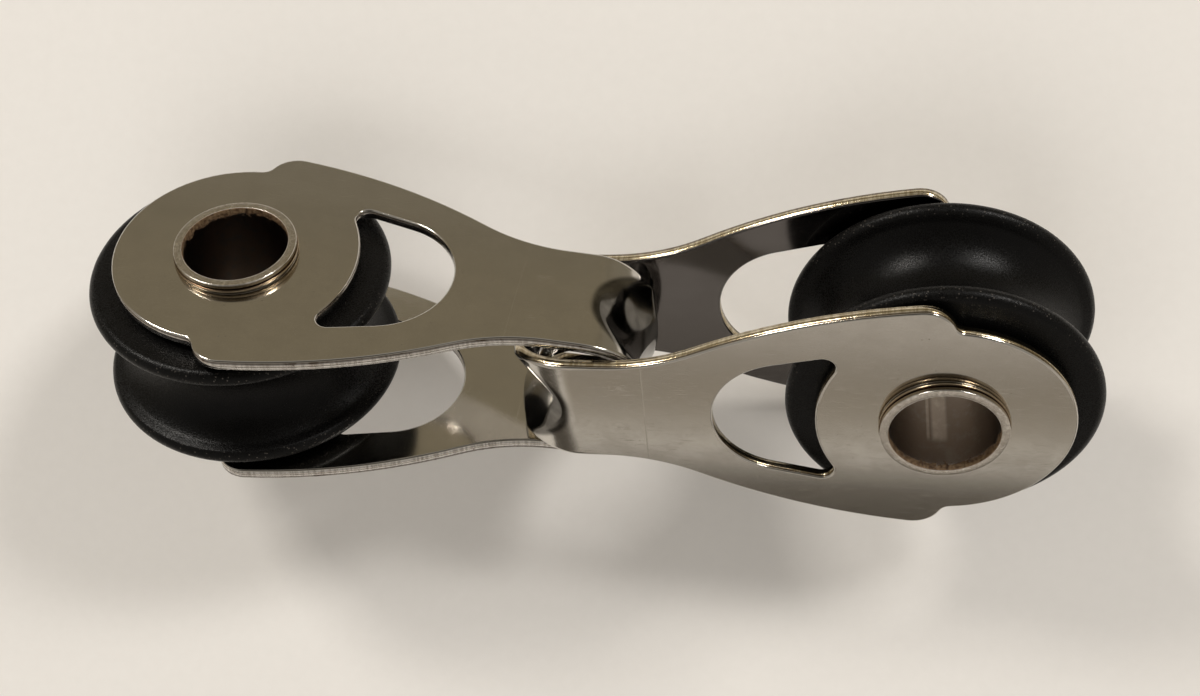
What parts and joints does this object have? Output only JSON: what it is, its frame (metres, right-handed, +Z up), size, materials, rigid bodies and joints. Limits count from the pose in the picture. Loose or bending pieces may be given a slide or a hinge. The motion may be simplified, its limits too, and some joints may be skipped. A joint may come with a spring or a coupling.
{
  "type": "traveller block",
  "caption": "Traveller made of single sailing blocks whose U-shaped steel straps interlock at a right angle, with black sheaves running on hollow axles.",
  "frame": {"origin": "under the middle of the link, at the height of the surface the part stands on", "axes": "+X along the length from the left block to the right block, +Z up. Both axles lie at 45 degrees to Z, and each block is swung 3 degrees about Z, which leaves the link between them towards -Y"},
  "size_m": [0.1002, 0.0328, 0.0328],
  "materials": {
    "strap_steel": "polished stainless steel, finely scratched and pitted, with a brown stain on the cut edges",
    "axle_steel": "rolled stainless tube, bright head, brown inside the bore",
    "race_steel": "turned steel",
    "black_plastic": "satin black, worn",
    "ball_plastic": "smooth off-white acetal",
    "retainer_plastic": "dark grey"
  },
  "bodies": {
    "left_block": {"left_strap": "strap_steel", "left_axle_tube": "axle_steel", "left_race_sleeve": "race_steel"},
    "left_sheave_set": {"left_sheave": "black_plastic", "left_retainer_upper": "retainer_plastic", "left_retainer_lower": "retainer_plastic"},
    "left_ball_set": {"left_balls_upper": "ball_plastic", "left_balls_lower": "ball_plastic"},
    "right_block": {"right_strap": "strap_steel", "right_axle_tube": "axle_steel", "right_race_sleeve": "race_steel"},
    "right_sheave_set": {"right_sheave": "black_plastic", "right_retainer_upper": "retainer_plastic", "right_retainer_lower": "retainer_plastic"},
    "right_ball_set": {"right_balls_upper": "ball_plastic", "right_balls_lower": "ball_plastic"}
  },
  "joints": [
    {"name": "left_sheave_spin", "type": "hinge", "parent": "left_block", "child": "left_sheave_set", "pos_m": [-0.03495, 0.00013, 0.01642], "axis": [0.037, 0.7061, 0.7071], "continuous": true},
    {"name": "left_ball_roll", "type": "hinge", "parent": "left_block", "child": "left_ball_set", "pos_m": [-0.03495, 0.00013, 0.01642], "axis": [0.037, 0.7061, 0.7071], "continuous": true},
    {"name": "link_slide", "type": "slide", "parent": "left_block", "child": "right_block", "axis": [1, 0, 0], "range_m": [-0.005, 0.004]},
    {"name": "right_sheave_spin", "type": "hinge", "parent": "right_block", "child": "right_sheave_set", "pos_m": [0.03495, 0.00013, 0.01642], "axis": [0.037, -0.7061, 0.7071], "continuous": true},
    {"name": "right_ball_roll", "type": "hinge", "parent": "right_block", "child": "right_ball_set", "pos_m": [0.03495, 0.00013, 0.01642], "axis": [0.037, -0.7061, 0.7071], "continuous": true}
  ],
  "couplings": [
    {"joint": "left_ball_roll", "follows": "left_sheave_spin", "ratio": 0.5738},
    {"joint": "right_ball_roll", "follows": "right_sheave_spin", "ratio": 0.5738}
  ]
}
